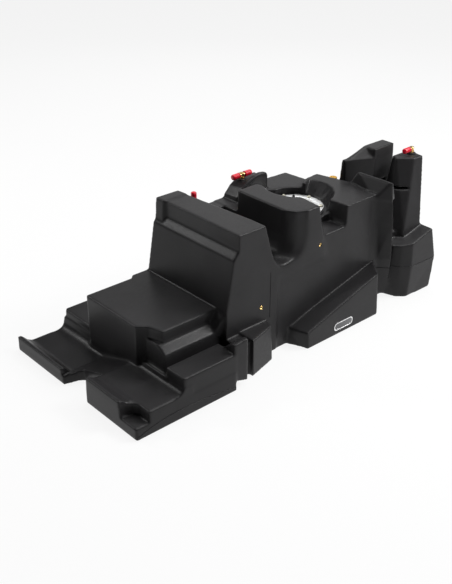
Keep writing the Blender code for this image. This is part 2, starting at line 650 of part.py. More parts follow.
def drain(parts, mats):
    """Brass bush in the far wall low down, with a sealed hexagon plug."""
    profile = [(6.3, 1), (DRAIN_RADIUS, 1), (DRAIN_RADIUS, -10), (6.3, -10)]
    stand(turned("drain_bush", profile, parts, mats["brass"], 20), world(*DRAIN), AWAY)
    tube_profile = [(6.5, 3.0), (11, 3.0), (11, 1.3), (6.5, 1.3)]
    stand(turned("drain_washer", tube_profile, parts, mats["rubber"], 20), world(*DRAIN), AWAY)
    spot = world(*DRAIN)
    plug = round_bar("drain_plug", 10.5, 7.0, spot + Vector((0, 3.3 * MM, 0)), AWAY, parts, mats["zinc"], 6)
    shank = round_bar("shank", 6.0, 15.0, spot - Vector((0, 8 * MM, 0)), AWAY, parts, None, 16)
    boolean(plug, shank, "UNION")
    bpy.data.objects.remove(shank, do_unlink=True)
    set_origin(plug, spot)


def side_inserts(parts, mats):
    for name, spot in INSERTS:
        profile = [(3, 9), (INSERT_RADIUS, 9), (INSERT_RADIUS, -1), (3, -1)]
        insert = turned(f"{name}_threaded_insert", profile, parts, mats["brass"], 16)
        stand(insert, world(*spot), AWAY)


def label(parts, mats):
    x, y, z = LABEL
    half = LABEL_SIZE[0] / 2
    tall = LABEL_SIZE[1] / 2
    plate = box("plain_label", (x - half, y - 1.5, z - tall), (x + half, y - GAP, z + tall), parts,
                mats["label"])
    set_origin(plate, world(x, y - GAP, z))


def make_materials():
    return {
        "poly": material("black_polyethylene", (0.018, 0.018, 0.019), 0.0, 0.45),
        "nylon": material("black_nylon", (0.025, 0.025, 0.026), 0.0, 0.5),
        "rubber": material("seal_rubber", (0.02, 0.02, 0.02), 0.0, 0.8),
        "zinc": material("zinc_plated_steel", (0.72, 0.74, 0.72), 1.0, 0.3),
        "wire": material("spring_wire", (0.6, 0.6, 0.6), 1.0, 0.35),
        "brass": material("brass", (0.62, 0.45, 0.2), 1.0, 0.3),
        "foam": material("float_foam", (0.08, 0.07, 0.06), 0.0, 0.7),
        "mesh": material("strainer_mesh", (0.75, 0.75, 0.7), 0.0, 0.7),
        "red": material("red_vinyl", (0.62, 0.01, 0.025), 0.0, 0.3),
        "yellow": material("yellow_vinyl", (0.85, 0.5, 0.02), 0.0, 0.35),
        "label": material("label_silver", (0.75, 0.75, 0.75), 0.0, 0.4),
    }


def build():
    clear_objects()
    parts = new_collection("pickup_long_range_fuel_tank")
    cutters = new_collection("cutters")
    mats = make_materials()
    tank_shell(parts, cutters, mats["poly"])
    sender_stack(parts, cutters, mats)
    fuel_tubes(parts, mats)
    level_gauge(parts, cutters, mats)
    connector(parts, mats)
    for name, foot, ways in VENTS:
        vent_valve(name, foot, parts, mats)
        vent_fitting(name, foot, ways, parts, cutters, mats)
    spigot(parts, mats)
    filler(parts, mats)
    drain(parts, mats)
    side_inserts(parts, mats)
    label(parts, mats)


build()
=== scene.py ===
"""Looks of the replacement fuel tank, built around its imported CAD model."""
import math

import bmesh
import bpy
import numpy as np
from mathutils import Matrix, Vector
from mathutils.bvhtree import BVHTree


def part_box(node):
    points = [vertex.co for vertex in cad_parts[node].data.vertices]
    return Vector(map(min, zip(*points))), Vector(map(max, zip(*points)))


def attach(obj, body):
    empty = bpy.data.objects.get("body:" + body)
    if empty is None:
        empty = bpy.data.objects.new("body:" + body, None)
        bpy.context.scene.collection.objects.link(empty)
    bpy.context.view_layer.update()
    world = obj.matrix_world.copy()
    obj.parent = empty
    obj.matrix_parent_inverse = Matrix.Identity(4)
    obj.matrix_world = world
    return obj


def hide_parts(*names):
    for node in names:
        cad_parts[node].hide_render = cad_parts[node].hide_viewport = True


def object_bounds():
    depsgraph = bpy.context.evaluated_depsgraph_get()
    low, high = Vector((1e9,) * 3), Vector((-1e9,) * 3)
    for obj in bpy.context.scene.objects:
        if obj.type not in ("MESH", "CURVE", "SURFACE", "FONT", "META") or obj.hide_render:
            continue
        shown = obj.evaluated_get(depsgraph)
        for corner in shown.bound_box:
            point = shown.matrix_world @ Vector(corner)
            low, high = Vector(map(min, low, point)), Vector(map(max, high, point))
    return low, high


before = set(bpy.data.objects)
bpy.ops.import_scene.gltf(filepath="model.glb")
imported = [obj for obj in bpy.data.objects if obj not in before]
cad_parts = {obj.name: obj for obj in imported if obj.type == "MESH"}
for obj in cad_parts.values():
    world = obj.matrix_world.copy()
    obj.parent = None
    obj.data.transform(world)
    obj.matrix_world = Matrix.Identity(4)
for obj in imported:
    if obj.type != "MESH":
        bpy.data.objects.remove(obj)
cad_low, cad_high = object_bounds()

MM = 0.001
UP = Vector((0, 0, 1))
AWAY = Vector((0, 1, 0))
RIGHT = Vector((1, 0, 0))

# Breathers: name, kind of brass fitting and the directions of its barbs.
VENTS = (("front", "stem", (UP,)), ("mid", "tee", (-RIGHT, RIGHT)), ("rear", "elbow", (-RIGHT,)))

# Fitting sizes shared with the CAD model, in millimetres.
FLANGE_TOP = 3.3
BARB_HEIGHT = 15.5
NUT_HEIGHT = 5.0
RING_BOLT_HOLE = 3.3
PORT_RADII = {"sender": 63.0, "vent": 8.3, "spigot": 9.3, "filler": 26.3, "drain": 10.3,
              "insert": 6.3}

# Rounding of the moulding.
VOXEL = 3.0 * MM
ROUND_PASSES = 6
SOFT_PASSES = 40
RELAX_SHARE = 0.5
KEEP_SHARE = 0.26
SOFT_FADE = 14 * MM
PLUG_EXTRA = 0.6
PLUG_REACH = 3.0
CUT_REACH = 14.0

# Raised parting lines of the mould.
BEAD_RADIUS = 1.1
CREASE_RADIUS = 0.7
BEAD_LIFT = 0.3
SPAN_STEPS = 24

# Studio: floor, sky and softboxes given by name, direction, width and power.
FLOOR_SIZE = 30.0
FLOOR_LEVEL = -0.0006
FLOOR_TONE = 0.1
FLOOR_GLOW = 0.88
SKY_SIDE = (0.5, -0.42, 0.76)
SOFTBOX_DISTANCE = 3.4
SOFTBOX_HEIGHT = 0.2
SOFTBOXES = (
    ("right_softbox", (0.58, -0.46, 0.63), 1.2, 105.0),
    ("left_rear_softbox", (-0.46, 0.66, 0.56), 0.8, 34.0),
    ("overhead_softbox", (0.25, 0.1, 0.97), 2.2, 70.0),
    ("back_softbox", (0.58, 0.66, 0.48), 2.4, 14.0),
)

# Camera of the main view.
CAMERA_SPOT = (-1.7468, -1.8927, 1.5002)
CAMERA_YAW = 48.401
CAMERA_PITCH = 28.689
CAMERA_LENS = 55.574

# How far the moulding's nearest point lies in front of its corner, in millimetres.
NEAR_OVERHANG = 4.0


def tank(x, y, z):
    """Millimetres from the front near bottom corner of the moulding to the frame's metres."""
    return Vector((cad_low.x + x * MM, cad_low.y + (y + NEAR_OVERHANG) * MM, z * MM))


# Places where the moulding flows in wide fillets: low and high corner of each.
SOFT_ZONES = (
    (tank(590, 50, 268), tank(738, 150, 412)),
    (tank(590, 100, 262), tank(700, 420, 330)),
    (tank(118, 110, 12), tank(168, 620, 60)),
    (tank(590, 50, 222), tank(840, 112, 322)),
)


# ---------------------------------------------------------------- materials

def add_node(tree, kind, links=None, **settings):
    """A shader node with its settings; links holds input values or the sockets that feed them."""
    made = tree.nodes.new(kind)
    for name, value in settings.items():
        setattr(made, name, value)
    for name, value in (links or {}).items():
        socket = made.inputs[name]
        if isinstance(value, bpy.types.NodeSocket):
            tree.links.new(value, socket)
        else:
            socket.default_value = value
    return made


def new_material(name, metallic=0.0, ior=1.46, gloss=0.5):
    """A material with its tree, its shader and its object coordinates."""
    mat = bpy.data.materials.new(name)
    mat.use_nodes = True
    tree = mat.node_tree
    shader = tree.nodes["Principled BSDF"]
    shader.inputs["Metallic"].default_value = metallic
    shader.inputs["IOR"].default_value = ior
    shader.inputs["Specular IOR Level"].default_value = gloss
    coords = tree.nodes.new("ShaderNodeTexCoord").outputs["Object"]
    return mat, tree, shader, coords


def noise(tree, vector, scale, detail=3.0, rough=0.55):
    made = add_node(tree, "ShaderNodeTexNoise", {"Vector": vector, "Scale": scale, "Detail": detail,
                                                 "Roughness": rough})
    return made.outputs["Fac"]


def stretched(tree, vector, scale):
    made = add_node(tree, "ShaderNodeMapping", {"Vector": vector, "Scale": scale})
    return made.outputs["Vector"]


def spread(tree, value, low, high, start=0.3, end=0.7):
    made = add_node(tree, "ShaderNodeMapRange", {"Value": value, "From Min": start, "From Max": end,
                                                 "To Min": low, "To Max": high})
    return made.outputs["Result"]


def blend_colors(tree, share, first, second):
    made = add_node(tree, "ShaderNodeMix", data_type="RGBA")
    tree.links.new(share, made.inputs["Factor"])
    for socket, color in ((made.inputs["A"], first), (made.inputs["B"], second)):
        if isinstance(color, bpy.types.NodeSocket):
            tree.links.new(color, socket)
        else:
            socket.default_value = (*color, 1.0)
    return made.outputs["Result"]


def bumps(tree, shader, layers):
    """Stacks bump layers of (height, distance in metres, strength)."""
    normal = None
    for height, distance, strength in layers:
        made = add_node(tree, "ShaderNodeBump", {"Height": height, "Distance": distance,
                                                 "Strength": strength})
        if normal:
            tree.links.new(normal, made.inputs["Normal"])
        normal = made.outputs["Normal"]
    tree.links.new(normal, shader.inputs["Normal"])


def moulded_plastic(name, dark, light, rough, grain=1100.0, grain_depth=0.05, wave_depth=0.5,
                    gloss=0.5):
    """Satin plastic with a fine orange peel, slow waves of the wall and faint rub marks."""
    mat, tree, shader, coords = new_material(name, gloss=gloss)
    patches = noise(tree, coords, 9.0, 4.0)
    rubs = noise(tree, stretched(tree, coords, (26.0, 90.0, 30.0)), 3.0, 5.0, 0.65)
    color = blend_colors(tree, spread(tree, patches, 0.0, 1.0), dark, light)
    marks = spread(tree, rubs, 0.0, 0.35, 0.62, 0.78)
    tone = blend_colors(tree, marks, color, [c * 1.6 for c in light])
    tree.links.new(tone, shader.inputs["Base Color"])
    tree.links.new(spread(tree, rubs, rough - 0.05, rough + 0.07), shader.inputs["Roughness"])
    peel = noise(tree, coords, grain, 2.0)
    pits = noise(tree, coords, grain * 0.28, 3.0)
    slow = noise(tree, coords, 13.0, 1.0)
    bumps(tree, shader, ((slow, wave_depth * MM, 0.8), (pits, grain_depth * 2 * MM, 0.6),
                         (peel, grain_depth * MM, 0.8)))
    return mat


def vinyl(name, color, deep):
    """Dip moulded cap: glossy, a little uneven, darker in random patches."""
    mat, tree, shader, coords = new_material(name, ior=1.5)
    share = spread(tree, noise(tree, coords, 90.0, 3.0), 0.0, 1.0)
    tree.links.new(blend_colors(tree, share, color, deep), shader.inputs["Base Color"])
    tree.links.new(spread(tree, noise(tree, coords, 400.0), 0.24, 0.36), shader.inputs["Roughness"])
    shader.inputs["Subsurface Weight"].default_value = 0.08
    shader.inputs["Subsurface Radius"].default_value = (0.004, 0.001, 0.0005)
    bumps(tree, shader, ((noise(tree, coords, 160.0, 2.0), 0.25 * MM, 0.5),))
    return mat


def metal(name, color, stain, rough, streaks=(400.0, 400.0, 2400.0), depth=0.02):
    """Machined or plated metal: tool lines, dull patches and uneven polish."""
    mat, tree, shader, coords = new_material(name, metallic=1.0)
    lines = noise(tree, stretched(tree, coords, streaks), 1.0, 3.0)
    patches = noise(tree, coords, 70.0, 5.0, 0.6)
    tree.links.new(blend_colors(tree, spread(tree, patches, 0.0, 1.0, 0.42, 0.72), color, stain),
                   shader.inputs["Base Color"])
    dull = spread(tree, patches, rough - 0.04, rough + 0.16)
    tree.links.new(dull, shader.inputs["Roughness"])
    bumps(tree, shader, ((lines, depth * MM, 0.6), (patches, depth * 2 * MM, 0.4)))
    return mat


def foam():
    """Closed cell foam of the floats, with its open cut cells."""
    mat, tree, shader, coords = new_material("closed_cell_foam")
    cells = add_node(tree, "ShaderNodeTexVoronoi", {"Vector": coords, "Scale": 900.0})
    share = spread(tree, cells.outputs["Distance"], 0.0, 1.0, 0.0, 0.8)
    tree.links.new(blend_colors(tree, share, (0.03, 0.026, 0.022), (0.1, 0.085, 0.07)),
                   shader.inputs["Base Color"])
    tree.links.new(spread(tree, share, 0.6, 0.85, 0.0, 1.0), shader.inputs["Roughness"])
    bumps(tree, shader, ((cells.outputs["Distance"], 0.15 * MM, 0.8),))
    return mat


def woven_sock():
    """Woven nylon of the strainer: two sets of crossing threads."""
    mat, tree, shader, coords = new_material("woven_strainer_nylon")
    weave = []
    for direction in ("X", "Z"):
        wave = add_node(tree, "ShaderNodeTexWave",
                        {"Vector": coords, "Scale": 260.0, "Distortion": 0.4},
                        bands_direction=direction)
        weave.append(wave.outputs["Fac"])
    both = add_node(tree, "ShaderNodeMath", operation="MAXIMUM")
    tree.links.new(weave[0], both.inputs[0])
    tree.links.new(weave[1], both.inputs[1])
    share = both.outputs[0]
    tree.links.new(blend_colors(tree, share, (0.3, 0.3, 0.27), (0.75, 0.75, 0.7)),
                   shader.inputs["Base Color"])
    tree.links.new(spread(tree, share, 0.8, 0.6, 0.0, 1.0), shader.inputs["Roughness"])
    bumps(tree, shader, ((share, 0.2 * MM, 0.9),))
    return mat


def all_materials():
    return {
        "poly": moulded_plastic("rotomoulded_polyethylene", (0.0185, 0.018, 0.0188),
                                (0.0245, 0.0238, 0.0248), 0.36, gloss=0.2),
        "nylon": moulded_plastic("black_glass_filled_nylon", (0.012, 0.012, 0.012),
                                 (0.02, 0.02, 0.02), 0.48, 1600.0, 0.03, 0.05),
        "rubber": moulded_plastic("nitrile_seal_rubber", (0.014, 0.014, 0.014), (0.02, 0.02, 0.02),
                                  0.75, 1500.0, 0.04, 0.05),
        "zinc": metal("bright_zinc_plate", (0.93, 0.93, 0.92), (0.7, 0.72, 0.74), 0.4,
                      (60.0, 900.0, 300.0)),
        "bolt": metal("bolt_zinc_plate", (0.78, 0.76, 0.66), (0.55, 0.52, 0.4), 0.26),
        "brass": metal("machined_brass", (0.72, 0.5, 0.2), (0.42, 0.27, 0.1), 0.24),
        "wire": metal("spring_steel_wire", (0.5, 0.5, 0.5), (0.35, 0.33, 0.3), 0.3),
        "red": vinyl("red_cap_vinyl", (0.72, 0.008, 0.03), (0.5, 0.004, 0.018)),
        "yellow": vinyl("yellow_cap_vinyl", (0.9, 0.5, 0.015), (0.78, 0.36, 0.01)),
        "label": metal("brushed_label_foil", (0.9, 0.9, 0.9), (0.8, 0.8, 0.81), 0.34,
                       (2200.0, 60.0, 60.0), 0.006),
        "panel": moulded_plastic("label_print_grey", (0.09, 0.09, 0.095), (0.12, 0.12, 0.125), 0.4,
                                 1500.0, 0.02, 0.02),
        "foam": foam(),
        "sock": woven_sock(),
    }


MATERIALS = all_materials()


# ---------------------------------------------------------------- mesh tools

def link_mesh(name, mesh, mat=None):
    obj = bpy.data.objects.new(name, mesh)
    bpy.context.scene.collection.objects.link(obj)
    if mat:
        mesh.materials.clear()
        mesh.materials.append(MATERIALS[mat])
    return obj


def from_bmesh(name, bm, mat=None):
    bmesh.ops.recalc_face_normals(bm, faces=bm.faces)
    mesh = bpy.data.meshes.new(name)
    bm.to_mesh(mesh)
    bm.free()
    return link_mesh(name, mesh, mat)


def drop(obj):
    mesh = obj.data
    bpy.data.objects.remove(obj, do_unlink=True)
    if mesh.users == 0:
        bpy.data.meshes.remove(mesh)


def apply_modifiers(obj):
    graph = bpy.context.evaluated_depsgraph_get()
    mesh = bpy.data.meshes.new_from_object(obj.evaluated_get(graph))
    obj.modifiers.clear()
    obj.data = mesh
    return obj


def boolean(target, tool, operation, solver="EXACT"):
    mod = target.modifiers.new(operation, "BOOLEAN")
    mod.operation = operation
    mod.solver = solver
    mod.object = tool
    apply_modifiers(target)
    drop(tool)
    return target


def soften(obj, width, segments=2, angle=32.0):
    """Small machined or moulded radius on the sharp edges."""
    mod = obj.modifiers.new("edge", "BEVEL")
    mod.width = width * MM
    mod.segments = segments
    mod.limit_method = "ANGLE"
    mod.angle_limit = math.radians(angle)
    return apply_modifiers(obj)


def smooth(obj, angle=35.0):
    obj.data.shade_smooth()
    obj.data.set_sharp_from_angle(angle=math.radians(angle))
    return obj


def aim(direction):
    """Turn that lays the upright axis along direction."""
    return UP.rotation_difference(Vector(direction)).to_matrix().to_4x4()


def lathe(name, profile, place, direction=UP, mat=None, steps=64):
    """Turned body: profile points are (radius, height) in millimetres, around its section."""
    bm = bmesh.new()
    rings = []
    for radius, height in profile:
        if radius == 0:
            rings.append([bm.verts.new((0, 0, height * MM))])
            continue
        ring = []
        for step in range(steps):
            angle = math.tau * step / steps
            spot = (radius * MM * math.cos(angle), radius * MM * math.sin(angle), height * MM)
            ring.append(bm.verts.new(spot))
        rings.append(ring)
    for index in range(len(rings)):
        one = rings[index - 1]
        two = rings[index]
        if len(one) == 1 and len(two) == 1:
            continue
        for step in range(steps):
            after = (step + 1) % steps
            corners = [one[step % len(one)], one[after % len(one)], two[after % len(two)],
                       two[step % len(two)]]
            bm.faces.new(list(dict.fromkeys(corners)))
    bmesh.ops.transform(bm, matrix=Matrix.Translation(place) @ aim(direction), verts=bm.verts)
    return smooth(from_bmesh(name, bm, mat))


def prism(name, radius, low, high, place, direction=UP, mat=None, sides=6):
    """Straight bar with flat sides from low to high along its direction."""
    bm = bmesh.new()
    bmesh.ops.create_cone(bm, cap_ends=True, segments=sides, radius1=radius * MM,
                          radius2=radius * MM, depth=(high - low) * MM)
    bmesh.ops.translate(bm, vec=(0, 0, (high + low) / 2 * MM), verts=bm.verts)
    bmesh.ops.transform(bm, matrix=Matrix.Translation(place) @ aim(direction), verts=bm.verts)
    return from_bmesh(name, bm, mat)


def slab(name, low, high, mat=None):
    bm = bmesh.new()
    bmesh.ops.create_cube(bm, size=1.0)
    bmesh.ops.scale(bm, vec=high - low, verts=bm.verts)
    bmesh.ops.translate(bm, vec=(low + high) / 2, verts=bm.verts)
    return from_bmesh(name, bm, mat)


def unite(base, *others):
    for other in others:
        boolean(base, other, "UNION")
    return base


def thread(outer, root, top, bottom, pitch):
    """Zigzag of thread crests from top to bottom as profile points."""
    points = []
    height = top
    while height - pitch > bottom:
        points += [(root, height), (outer, height - pitch * 0.4), (outer, height - pitch * 0.55)]
        height -= pitch
    points.append((root, height))
    return points


def centre(node):
    low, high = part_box(node)
    return (low + high) / 2


def upright_spot(node, height):
    """The middle of a node's plan, at a height."""
    mid = centre(node)
    return Vector((mid.x, mid.y, height))


def sideways_spot(node, depth):
    """The middle of a node seen from the near side, at a distance across the tank."""
    mid = centre(node)
    return Vector((mid.x, depth, mid.z))


def vent_foot(name):
    """Where a breather's axis meets the skin of the moulding."""
    node = f"{name}_vent_valve"
    return upright_spot(node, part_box(node)[1].z - FLANGE_TOP * MM)


def ring_bolts():
    return [node for node in sorted(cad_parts) if node.startswith("ring_bolt_")]


def show(piece, body, nodes, angle=35.0):
    """Finishes a piece: smooth shading, the body it rides on and the CAD nodes it stands for."""
    smooth(piece, angle)
    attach(piece, body)
    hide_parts(*nodes)
    return piece


# ---------------------------------------------------------------- moulding

def bare_copy(node):
    """Copy of a node's mesh with its corners joined."""
    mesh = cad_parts[node].data.copy()
    bm = bmesh.new()
    bm.from_mesh(mesh)
    bmesh.ops.remove_doubles(bm, verts=bm.verts, dist=0.00001)
    bm.to_mesh(mesh)
    bm.free()
    return link_mesh(node + "_copy", mesh)


def port_bars(grow, reach, sides):
    """Bars that fill or cut the ports: grow widens them, reach is their length each way."""
    bars = []

    def bar(name, radius, spot, direction):
        bars.append(prism(name, radius + grow, -reach, reach, spot, direction, None, sides))

    well_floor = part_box("sender_seal")[0].z
    bar("port_sender", PORT_RADII["sender"], upright_spot("sender_lock_ring", well_floor - 3 * MM), UP)
    for name, _, _ in VENTS:
        node = f"{name}_vent_valve"
        bar("port_" + name, PORT_RADII["vent"], upright_spot(node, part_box(node)[1].z - 6 * MM), UP)
    spot = upright_spot("breather_spigot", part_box("breather_spigot")[0].z + 9 * MM)
    bar("port_spigot", PORT_RADII["spigot"], spot, UP)
    spot = sideways_spot("filler_neck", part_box("filler_neck")[0].y + 9 * MM)
    bar("port_filler", PORT_RADII["filler"], spot, AWAY)
    spot = sideways_spot("drain_bush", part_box("drain_bush")[0].y + 7 * MM)
    bar("port_drain", PORT_RADII["drain"], spot, AWAY)
    for name in ("front", "rear"):
        bar("port_insert_" + name, PORT_RADII["insert"], centre(f"{name}_threaded_insert"), AWAY)
    for node in ring_bolts():
        bar("port_" + node, RING_BOLT_HOLE, upright_spot(node, well_floor - 3 * MM), UP)
    return bars


def coordinates(mesh):
    co = np.empty(len(mesh.vertices) * 3)
    mesh.vertices.foreach_get("co", co)
    return co.reshape(-1, 3)


def keep_component(obj, name, outermost):
    """Copy of obj with only its outside skin, or only the largest skin inside it."""
    mesh = obj.data
    count = len(mesh.vertices)
    edges = np.empty(len(mesh.edges) * 2, np.int64)
    mesh.edges.foreach_get("vertices", edges)
    edges = edges.reshape(-1, 2)
    label = np.arange(count)
    while True:
        low = np.minimum(label[edges[:, 0]], label[edges[:, 1]])
        before = label.copy()
        np.minimum.at(label, edges[:, 0], low)
        np.minimum.at(label, edges[:, 1], low)
        label = label[label]
        if (label == before).all():
            break
    co = coordinates(mesh)
    names = np.unique(label)
    spans = sorted(names, key=lambda k: -np.ptp(co[label == k], axis=0).sum())
    wanted = spans[0] if outermost else spans[1]
    bm = bmesh.new()
    bm.from_mesh(mesh)
    bm.verts.ensure_lookup_table()
    extra = [bm.verts[i] for i in np.flatnonzero(label != wanted)]
    bmesh.ops.delete(bm, geom=extra, context="VERTS")
    return from_bmesh(name, bm)


def relax(obj, weights, rounds):
    """Moves each vertex towards its neighbours by its own weight, over and over."""
    mesh = obj.data
    co = coordinates(mesh)
    count = len(co)
    edges = np.empty(len(mesh.edges) * 2, np.int64)
    mesh.edges.foreach_get("vertices", edges)
    one, two = edges.reshape(-1, 2).T
    degree = np.maximum(np.bincount(one, minlength=count) + np.bincount(two, minlength=count), 1)
    for _ in range(rounds):
        total = np.empty_like(co)
        for axis in range(3):
            total[:, axis] = (np.bincount(one, co[two, axis], count)
                              + np.bincount(two, co[one, axis], count))
        co += weights[:, None] * (total / degree[:, None] - co)
    mesh.vertices.foreach_set("co", co.ravel())
    mesh.update()


def zone_weights(co):
    """How strongly each point lies in a soft zone, fading out at the zone's sides."""
    weight = np.zeros(len(co))
    for low, high in SOFT_ZONES:
        inside = np.minimum(co - np.array(low), np.array(high) - co).min(axis=1)
        share = np.clip(inside / SOFT_FADE, 0, 1)
        weight = np.maximum(weight, share * share * (3 - 2 * share))
    return weight * RELAX_SHARE


def rounded_outside(solid):
    """Gives the outside its moulded radii and wide fillets, then thins its mesh out."""
    mod = solid.modifiers.new("voxels", "REMESH")
    mod.mode = "VOXEL"
    mod.voxel_size = VOXEL
    apply_modifiers(solid)
    relax(solid, zone_weights(coordinates(solid.data)), SOFT_PASSES)
    relax(solid, np.full(len(solid.data.vertices), RELAX_SHARE), ROUND_PASSES)
    mod = solid.modifiers.new("thin_out", "DECIMATE")
    mod.ratio = KEEP_SHARE
    return apply_modifiers(solid)


def moulded_shell():
    """Hollow moulding with rounded outside, its cavity and open ports."""
    plugged = bare_copy("tank_shell")
    for bar in port_bars(PLUG_EXTRA, PLUG_REACH, 24):
        boolean(plugged, bar, "UNION")
    outside = keep_component(plugged, "moulded_shell", True)
    cavity = keep_component(plugged, "cavity", False)
    drop(plugged)
    rounded_outside(outside)
    boolean(outside, cavity, "DIFFERENCE", "MANIFOLD")
    for bar in port_bars(0.0, CUT_REACH, 48):
        boolean(outside, bar, "DIFFERENCE", "MANIFOLD")
    outside.data.materials.clear()
    outside.data.materials.append(MATERIALS["poly"])
    return show(outside, "tank", ["tank_shell"], 50.0)


def seam(name, shell_tree, path, radius=BEAD_RADIUS):
    """Raised bead: path points (x, z) in tank millimetres, laid on the near side."""
    points = []
    for index in range(len(path) - 1):
        for step in range(SPAN_STEPS):
            share = step / SPAN_STEPS
            x = path[index][0] * (1 - share) + path[index + 1][0] * share
            z = path[index][1] * (1 - share) + path[index + 1][1] * share
            spot, normal = shell_tree.ray_cast(tank(x, -60, z), AWAY)[:2]
            if spot is not None:
                points.append(spot + normal * BEAD_LIFT * MM)
    curve = bpy.data.curves.new(name, "CURVE")
    curve.dimensions = "3D"
    curve.bevel_depth = radius * MM
    curve.bevel_resolution = 2
    curve.use_fill_caps = True
    spline = curve.splines.new("POLY")
    spline.points.add(len(points) - 1)
    for point, spot in zip(spline.points, points):
        point.co = (*spot, 1.0)
    obj = bpy.data.objects.new(name, curve)
    bpy.context.scene.collection.objects.link(obj)
    curve.materials.append(MATERIALS["poly"])
    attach(obj, "tank")


def arc_path(start, top, end, steps=10):
    """Shallow arch through three points."""
    path = []
    for step in range(steps + 1):
        share = step / steps
        one = (1 - share) * (1 - 2 * share)
        two = 4 * share * (1 - share)
        three = share * (2 * share - 1)
        path.append((start[0] * one + top[0] * two + end[0] * three,
                     start[1] * one + top[1] * two + end[1] * three))
    return path


def parting_lines(shell):
    tree = BVHTree.FromObject(shell, bpy.context.evaluated_depsgraph_get())
    seam("parting_line_sill", tree, arc_path((4, 9), (150, 31), (352, 12)))
    seam("parting_line_flare", tree, [(1062, 122), (1112, 122)])
    seam("parting_line_lobe", tree, [(1116, 122), (1170, 121), (1290, 118)])
    seam("wall_crease", tree, [(568, 128), (568, 286)], CREASE_RADIUS)


# ---------------------------------------------------------------- fittings

def hose_barb(place, direction):
    """Barb with three sharp ridges on a plain root."""
    profile = [(0, 38), (4.6, 38), (5.2, 37.6), (7.0, 33.2), (6.9, 32.8), (5.7, 32.6), (5.7, 30.2),
               (7.0, 26.4), (6.9, 26.0), (5.7, 25.8), (5.7, 23.4), (7.0, 19.6), (6.9, 19.2),
               (5.7, 19.0), (5.7, 9.2), (7.0, 8.6), (7.0, 0), (0, 0)]
    return lathe("barb", profile, place, direction, None, 40)


def vent(name, kind, ways):
    """Brass fitting on its threaded stem, and the red caps on its barbs."""
    foot = vent_foot(name)
    axis = foot + UP * BARB_HEIGHT * MM
    piece = soften(prism(f"brass_{name}_{kind}", 10.4, 3.7, 9.4, foot, UP, "brass"), 0.5)
    profile = [(0, 23.4), (6.6, 23.4), (7.9, 22.2), (7.9, 10.6), (7.2, 9.9), (7.2, 5), (0, 5)]
    stem = lathe("stem", profile, foot, UP, None, 40)
    unite(piece, stem, *[hose_barb(axis, way) for way in ways])
    boolean(piece, prism("bore", 3.1, -2, 16.4, foot, UP, None, 24), "DIFFERENCE")
    for way in ways:
        boolean(piece, prism("bore", 2.9, -1.5, 50, axis, way, None, 24), "DIFFERENCE")
    show(piece, "tank", [f"{name}_vent_{kind}"])
    for index, way in enumerate(ways):
        side = "" if len(ways) == 1 else ("_a", "_b")[index]
        red_cap(f"{name}_vent_cap{side}", f"{name}_cap{side}", axis, way)


def red_cap(node, body, axis, direction):
    """Soft push-on cap: rolled lip, ribs for the fingers and a domed end."""
    profile = [(0, 41), (3.2, 40.9), (6.4, 40.4), (8.2, 39.2), (9.0, 37.4)]
    for index in range(4):
        top = 34.5 - index * 4.6
        profile += [(9.0, top), (9.35, top - 0.7), (9.35, top - 1.9), (9.0, top - 2.6)]
    profile += [(9.0, 14.2), (9.6, 13.6), (9.9, 12.6), (9.6, 11.4), (8.8, 11.05), (7.4, 11.2),
                (7.3, 12), (7.3, 38.3), (0, 38.3)]
    name = node.replace("_vent", "_breather") + "_vinyl"
    piece = lathe(name, profile, axis, direction, "red", 48)
    show(piece, body, [node], 60.0)


def valve_body(name):
    """Flanged and threaded cage of a roll-over valve, hollow for its ball."""
    profile = [(3, FLANGE_TOP), (13.6, FLANGE_TOP), (14.8, 2.8), (15, 2.2), (15, 0.3), (8, 0.3)]
    profile += thread(8.0, 7.3, -0.5, -9.5, 1.4)
    profile += [(7.6, -10.5), (7.6, -37), (7.0, -38), (3, -38), (3, -34), (5.6, -34), (5.6, -11),
                (3, -8)]
    piece = lathe(f"{name}_valve_cage", profile, vent_foot(name), UP, "nylon", 40)
    show(piece, "tank", [f"{name}_vent_valve"])


def clamp_ring():
    """Bright pressed ring over the sender flange, with its nuts, washers and studs."""
    low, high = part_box("sender_lock_ring")
    depth = (high.z - low.z) / MM
    profile = [(60, -0.8), (60.8, 0), (62.5, 0), (64, -0.7), (69, -0.7), (70.5, 0), (88.6, 0),
               (90.4, -0.7), (91, -2.2), (91, -depth + 0.4), (90.6, -depth), (75, -depth),
               (74.6, -depth + 0.4), (74.6, -3), (60.6, -3), (60, -2.6)]
    hub = upright_spot("sender_lock_ring", high.z)
    ring = lathe("bright_clamp_ring", profile, hub, UP, "zinc", 128)
    for node in ring_bolts():
        hole = prism("hole", RING_BOLT_HOLE, -20, 5, upright_spot(node, high.z), UP, None, 20)
        boolean(ring, hole, "DIFFERENCE")
        ring_nut(node)
    show(ring, "tank", ["sender_lock_ring"], 30.0)


def ring_nut(node):
    """Nut on its washer, with the threaded stud through both."""
    low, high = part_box(node)
    foot = upright_spot(node, high.z - NUT_HEIGHT * MM)
    length = (high.z - low.z) / MM - NUT_HEIGHT
    nut = soften(prism("plated_" + node, 5.6, 1.2, 4.6, foot, UP, "bolt"), 0.45)
    profile = [(0, 1.3), (6.6, 1.3), (6.9, 1.0), (6.9, 0.2), (6.6, 0.02), (0, 0.02)]
    washer = lathe("washer", profile, foot, UP, None, 40)
    profile = [(0, NUT_HEIGHT), (2.4, NUT_HEIGHT)] + thread(3.0, 2.5, 4.8, -length + 1, 0.9)
    profile += [(2.5, -length), (0, -length)]
    unite(nut, washer, lathe("stud", profile, foot, UP, None, 24))
    show(nut, "tank", [node])


